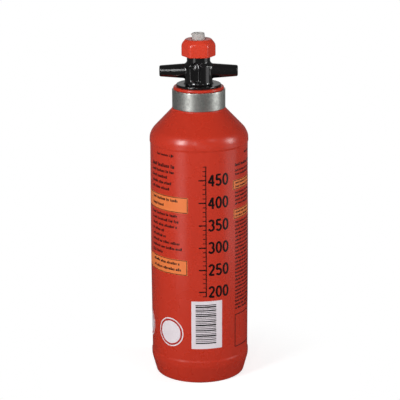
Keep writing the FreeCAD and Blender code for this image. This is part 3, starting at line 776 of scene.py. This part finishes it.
paragraphs = [  # rows of (height, start, end), the height of their blocks, and their level
    ([(155.6, -69, -32)], 1.8, 0),
    (rowsDown(151.6, 4.0, -69, (-30.5, -38.7, -36, -39)), 1.4, 0),
    (rowsDown(121.2, 3.9, -69, (-27, -27, -28.5, -47.5, -44, -25, -21, -50)), 1.4, 0),
    (rowsDown(132.1, 4.3, -68, (-27, -45.5)) + rowsDown(87.4, 4.2, -66, (-24, -23)), 1.4, 1),
    ([(155.5, 46.5, 96)], 1.5, 0),
    (rowsDown(151.6, 2.6, 46.5, [96] * 2), 1.05, 0),
    (rowsDown(136.0, 2.6, 46.5, [96] * 4), 1.05, 0),
    (rowsDown(115.0, 2.6, 46.5, [96] * 25), 1.05, 0),
    (rowsDown(142.9, 2.6, 47, [96] * 2) + rowsDown(122.2, 2.6, 47, [96] * 2), 1.05, 1),
    ([(163.2, -58, -37), (162.7, 65.5, 96)], 1.1, 0),
]
films = scaleFilms(black)
for paragraph in paragraphs:
    films += blockFilms(black, *paragraph)
aside, inward = black["frameInset"]
for left, right, low, high in orange["panels"]:
    films.append(frameFilm(left + aside, right - aside, low + inward, high - inward, black["frameLine"], 1))
films.append(frameFilm(*black["sideFrame"], black["sideLine"], 0))
pointer = np.array([(aroundPanel(end), black["fillHeight"]) for end in black["pointer"]])
films.append(filmGrid(drawn(pointer, 0.5), np.linspace(*black["pointerWidths"], 6)))
addPiece(black, films, inkBlack)
addPiece(orange, [panelFilm(*panel) for panel in orange["panels"]], inkOrange)

# White label with plain stripes, and two round stickers with a red band
label = {
    "name": "paperLabel", "body": "bottle", "slot": "bottle_plastic",
    "left": -10.0, "right": 26.9, "low": 26.6, "high": 61.4,
}
stickers = {
    "name": "stickerBands", "body": "bottle", "slot": "bottle_plastic",
    "places": [(-37.5, 37.0), (-87.0, 37.0)], "radius": 10.4, "band": 8.9, "bandWidth": 1.3,
}
stripes = {
    "name": "labelStripes", "body": "bottle", "slot": "bottle_plastic",
    "left": -5.0, "right": 19.5, "low": 30.8, "high": 58.6,
    "widths": [0.9, 0.4, 0.7, 0.4, 1.1, 0.5, 0.4, 0.9, 0.6, 0.4, 1.1,
               0.4, 0.8, 0.5, 0.4, 1.0, 0.7, 0.4, 0.9, 0.4, 1.1, 0.6],
}
papers = [panelFilm(label["left"], label["right"], label["low"], label["high"], 1, across=14)]
papers += [discFilm(*place, stickers["radius"], 1) for place in stickers["places"]]
addPiece(label, papers, labelPaper)
bands = [ringFilm(*place, stickers["band"], stickers["bandWidth"], 3) for place in stickers["places"]]
addPiece(stickers, bands, inkRed)
heights = np.linspace(stripes["low"], stripes["high"], len(stripes["widths"]))
lines = [panelFilm(stripes["left"], stripes["right"], height - width / 2, height + width / 2, 3, across=1)
         for height, width in zip(heights, stripes["widths"])]
addPiece(stripes, lines, inkBlack)
print("print laid on the panel")

# Studio: lamps round the bottle, a white table and room, and for reflections a dim room with a pale card
studio = {
    "lampDistance": 1.1, "fillDistance": 2.2, "lampAim": 0.14,
    "lamps": {  # azimuth from the front to the right, elevation, width, height, watts
        "leftSoftBox": (-43, 24, 0.28, 0.48, 7.5), "rightSoftBox": (79, 18, 0.24, 0.44, 4.1),
        "leftLowCard": (-43, -12, 0.40, 0.40, 0.60), "rightLowCard": (79, -12, 0.60, 0.40, 0.60),
        "cameraLamp": (-10.5, 25, 0.05, 0.56, 0.7), "rightTopLamp": (36, 40, 0.16, 0.10, 0.35),
    },
    "fills": {"frontFill": (12, 3, 1.0, 0.8, 7.4), "backFill": (180, 3, 1.2, 0.8, 22.0)},  # not mirrored
    "horizon": 0.33, "zenith": 0.06, "skyFade": (-0.1, 0.8),
    "room": 0.09, "behind": 0.16, "card": 0.46, "behindFade": (0.75, 1.0), "cardFade": (0.94, 0.985),
    "table": 0.30, "tableLit": "#C4C4C4", "tableMirrored": "#626262", "tableSeen": "#C8C8C8",
    "shadowGlow": 0.72, "shadowFade": (0.03, 0.12),
    "distance": 1.2, "pitch": math.radians(15.5), "roll": math.radians(-0.3), "aim": (0.0005, 0.0, 0.1247),
    "lens": 154.67, "sensor": 36.0,
}


def addLight(name, azimuth, elevation, width, height, power, distance, mirrored):  # lamp facing the bottle
    light = bpy.data.lights.new(name, "AREA")
    light.shape = "RECTANGLE"
    light.size, light.size_y, light.energy = width, height, power
    lamp = bpy.data.objects.new(name, light)
    a, e = math.radians(azimuth), math.radians(elevation)
    across, rise = distance * math.cos(e), distance * math.sin(e)
    lamp.location = (across * math.sin(a), -across * math.cos(a), studio["lampAim"] + rise)
    lamp.rotation_euler = (math.pi / 2 - e, 0, a)
    lamp.visible_glossy = mirrored
    bpy.context.scene.collection.objects.link(lamp)


for name, lamp in studio["lamps"].items():
    addLight(name, *lamp, studio["lampDistance"], True)
for name, lamp in studio["fills"].items():
    addLight(name, *lamp, studio["fillDistance"], False)


def mixByRay(tree, lit, mirrored, seen):  # shaders for diffuse light, for reflections and for the camera
    ray = addNode(tree, "ShaderNodeLightPath").outputs
    direct = addNode(tree, "ShaderNodeMath", {"operation": "MAXIMUM"}, {},
                     {0: ray["Is Camera Ray"], 1: ray["Is Transmission Ray"]}).outputs[0]
    indirect = addNode(tree, "ShaderNodeMixShader", {}, {},
                       {0: ray["Is Glossy Ray"], 1: lit, 2: mirrored}).outputs[0]
    return addNode(tree, "ShaderNodeMixShader", {}, {}, {0: direct, 1: indirect, 2: seen}).outputs[0]


smoothStep = {"interpolation_type": "SMOOTHSTEP"}
world = bpy.data.worlds.new("studioRoom")
bpy.context.scene.world = world
world.use_nodes = True
room = world.node_tree
room.nodes.clear()
outward = addNode(room, "ShaderNodeTexCoord").outputs["Generated"]
direction = addNode(room, "ShaderNodeSeparateXYZ", {}, {}, {0: outward}).outputs
cardAt = (0, math.cos(studio["pitch"]), math.sin(studio["pitch"]))  # behind, where level faces mirror it
facing = addNode(room, "ShaderNodeVectorMath", {"operation": "DOT_PRODUCT"}, {1: cardAt},
                 {0: outward}).outputs["Value"]
card = addNode(room, "ShaderNodeMapRange", smoothStep,
               mapSpan(studio["cardFade"], studio["behind"], studio["card"]),
               {"Value": facing}).outputs["Result"]
behind = addNode(room, "ShaderNodeMapRange", smoothStep,
                 mapSpan(studio["behindFade"], studio["room"], studio["card"]),
                 {"Value": direction["Y"], "To Max": card}).outputs["Result"]
above = addNode(room, "ShaderNodeMapRange", smoothStep,
                mapSpan(studio["skyFade"], studio["horizon"], studio["zenith"]),
                {"Value": direction["Z"]}).outputs["Result"]
white = {"Color": hexColour("#FFFFFF"), "Strength": 1.0}
fill = addNode(room, "ShaderNodeBackground", {}, white, {"Strength": above}).outputs[0]
mirrored = addNode(room, "ShaderNodeBackground", {}, white, {"Strength": behind}).outputs[0]
backdrop = addNode(room, "ShaderNodeBackground", {}, white).outputs[0]
addNode(room, "ShaderNodeOutputWorld", {}, {}, {"Surface": mixByRay(room, fill, mirrored, backdrop)})

tableMesh = bpy.data.meshes.new("table")
rim = roundAxis(np.full(96, studio["table"] / mm), 0.0, evenAngles(96)) * mm
tableMesh.from_pydata(rim.tolist(), [], [list(range(96))])
table = bpy.data.objects.new("table", tableMesh)
bpy.context.scene.collection.objects.link(table)
tableWhite = bpy.data.materials.new("whiteTable")
tableWhite.use_nodes = True
tree = tableWhite.node_tree
tree.nodes.clear()
place = addNode(tree, "ShaderNodeTexCoord").outputs["Object"]
fromMiddle = addNode(tree, "ShaderNodeVectorMath", {"operation": "LENGTH"}, {}, {0: place}).outputs["Value"]
fade = addNode(tree, "ShaderNodeMapRange", smoothStep, mapSpan(studio["shadowFade"], 0.0, 1.0),
               {"Value": fromMiddle}).outputs["Result"]
lit, dim, shaded = (addNode(tree, "ShaderNodeBsdfDiffuse", {}, {"Color": hexColour(studio[key])}).outputs[0]
                    for key in ("tableLit", "tableMirrored", "tableSeen"))
half, glow = (addNode(tree, "ShaderNodeEmission", {}, {"Strength": strength}).outputs[0]
              for strength in (studio["shadowGlow"], 1.0))
nearby = addNode(tree, "ShaderNodeAddShader", {}, {}, {0: shaded, 1: half}).outputs[0]  # keeps the shadow
pale = addNode(tree, "ShaderNodeMixShader", {}, {}, {0: fade, 1: nearby, 2: glow}).outputs[0]
addNode(tree, "ShaderNodeOutputMaterial", {}, {}, {"Surface": mixByRay(tree, lit, dim, pale)})
tableMesh.materials.append(tableWhite)

camera = bpy.data.cameras.new("photoCamera")
camera.lens, camera.sensor_width, camera.clip_start = studio["lens"], studio["sensor"], 0.01
viewer = bpy.data.objects.new("photoCamera", camera)
x, y, z = studio["aim"]
back, rise = studio["distance"] * math.cos(studio["pitch"]), studio["distance"] * math.sin(studio["pitch"])
viewer.location = (x, y - back, z + rise)
viewer.rotation_mode = "ZXY"
viewer.rotation_euler = (math.pi / 2 - studio["pitch"], 0, 0)
viewer.rotation_euler.rotate_axis("Z", studio["roll"])
bpy.context.scene.collection.objects.link(viewer)
bpy.context.scene.camera = viewer
bpy.context.scene.view_settings.view_transform = "Standard"
print("studio set")
